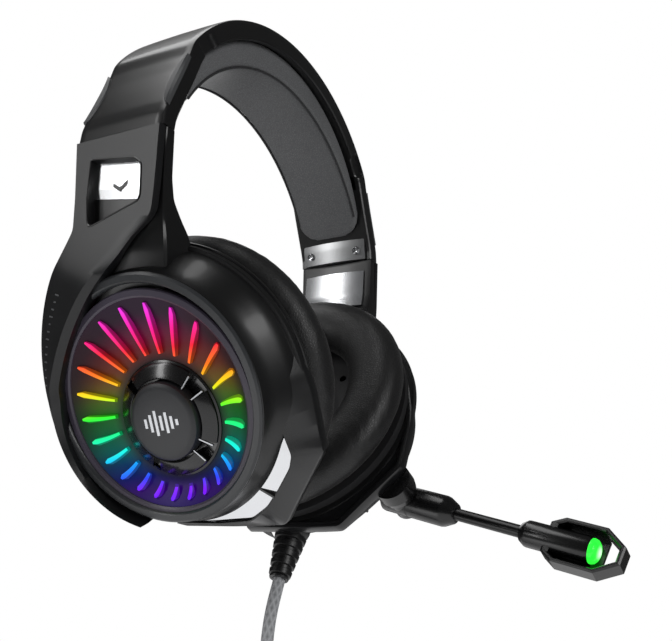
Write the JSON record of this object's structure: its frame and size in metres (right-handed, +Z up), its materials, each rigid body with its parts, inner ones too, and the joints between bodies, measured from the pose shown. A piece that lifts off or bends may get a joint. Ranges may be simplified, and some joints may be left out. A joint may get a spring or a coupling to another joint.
{
  "type": "gaming headset",
  "caption": "Wired over-ear gaming headset: sprung padded headband, sliding arms, lit ear cups with leather cushions, a swinging boom microphone and a coiled cord",
  "frame": {"origin": "midway between the two ear cups, on the axis through the wearer's ears", "axes": "+Z up towards the crown of the band, -Y towards the wearer's face, +X towards the wearer's left ear"},
  "size_m": [0.17, 0.2029, 0.4725],
  "materials": {
    "shell_black": "satin moulded black",
    "spring_steel": "brushed",
    "liner_plastic": "matte black",
    "grey_leather": "soft grey protein leather",
    "inlay_grey": "matte dark grey",
    "bracket_satin": "satin dark nickel",
    "screw_steel": "bright",
    "cover_charcoal": "satin charcoal",
    "bright_chrome": "mirror bright plate",
    "ring_grey": "satin grey",
    "ring_purple": "satin grey with a purple cast",
    "light_diffuser": "tinted translucent",
    "light_blade": "translucent, lit",
    "circuit_board": "solder mask",
    "hub_black": "gloss black",
    "hub_grey": "fine matte grey",
    "driver_black": "paper and plastic",
    "black_leather": "soft black protein leather",
    "mic_black": "satin black",
    "mic_rod_black": "flexible black sleeve",
    "green_light": "translucent, lit green",
    "control_plastic": "matte, knurled",
    "relief_rubber": "moulded rubber",
    "cord_braid": "braided silver grey",
    "tie_fabric": "hook and loop strap",
    "lead_rubber": "smooth rubber",
    "plug_plastic": "matte black with a metal tongue",
    "jack_metal": "plated plug, black grip"
  },
  "bodies": {
    "headband": {"band_shell": "shell_black", "band_spring": "spring_steel", "band_liner": "liner_plastic", "band_pad": "grey_leather", "band_strips": "inlay_grey", "end_plates": "bracket_satin", "end_screws": "screw_steel"},
    "arm_left": {"slider_left": "spring_steel", "arm_frame_left": "shell_black", "arm_cover_left": "cover_charcoal", "window_plate_left": "bright_chrome", "inner_plate_left": "bright_chrome", "cup_shell_left": "shell_black", "wing_left": "cover_charcoal", "chrome_trim_left": "bright_chrome", "disc_ring_left": "ring_grey", "inner_ring_left": "ring_purple", "light_dish_left": "light_diffuser", "light_bars_left": "light_blade", "led_board_left": "circuit_board", "hub_ring_left": "hub_black", "hub_cap_left": "hub_grey", "driver_left": "driver_black", "baffle_left": "liner_plastic", "cushion_left": "black_leather", "mic_socket": "mic_black", "strain_relief": "relief_rubber", "cord_tube": "cord_braid", "cord_coil": "cord_braid", "cord_tie": "tie_fabric", "cord_split": "relief_rubber", "lead_usb": "lead_rubber", "lead_audio": "lead_rubber", "usb_plug": "plug_plastic", "audio_plug": "jack_metal"},
    "arm_right": {"slider_right": "spring_steel", "arm_frame_right": "shell_black", "arm_cover_right": "cover_charcoal", "window_plate_right": "bright_chrome", "inner_plate_right": "bright_chrome", "cup_shell_right": "shell_black", "wing_right": "cover_charcoal", "chrome_trim_right": "bright_chrome", "disc_ring_right": "ring_grey", "inner_ring_right": "ring_purple", "light_dish_right": "light_diffuser", "light_bars_right": "light_blade", "led_board_right": "circuit_board", "hub_ring_right": "hub_black", "hub_cap_right": "hub_grey", "driver_right": "driver_black", "baffle_right": "liner_plastic", "cushion_right": "black_leather"},
    "mic_boom": {"mic_base": "mic_black", "mic_rod": "mic_rod_black", "mic_capsule": "mic_black", "mic_lens": "green_light", "mic_fork": "mic_black"},
    "volume_wheel": {"volume_wheel": "control_plastic"},
    "mic_switch": {"mic_switch": "control_plastic"}
  },
  "joints": [
    {"name": "slider_left", "type": "slide", "parent": "headband", "child": "arm_left", "axis": [0.3907, 0, -0.9205], "range_m": [0, 0.024]},
    {"name": "slider_right", "type": "slide", "parent": "headband", "child": "arm_right", "axis": [-0.3907, 0, -0.9205], "range_m": [0, 0.024]},
    {"name": "mic_hinge", "type": "hinge", "parent": "arm_left", "child": "mic_boom", "pos_m": [0.04607, -0.0485, -0.03635], "axis": [-0.9003, 0, 0.4352], "range_deg": [-20, 90]},
    {"name": "volume_spin", "type": "hinge", "parent": "arm_left", "child": "volume_wheel", "pos_m": [0.03015, 0.0506, -0.00978], "axis": [0.9003, 0, -0.4352], "range_deg": [0, 270]},
    {"name": "mute_slide", "type": "slide", "parent": "arm_left", "child": "mic_switch", "axis": [0.4352, 0, 0.9003], "range_m": [0, 0.003]}
  ]
}
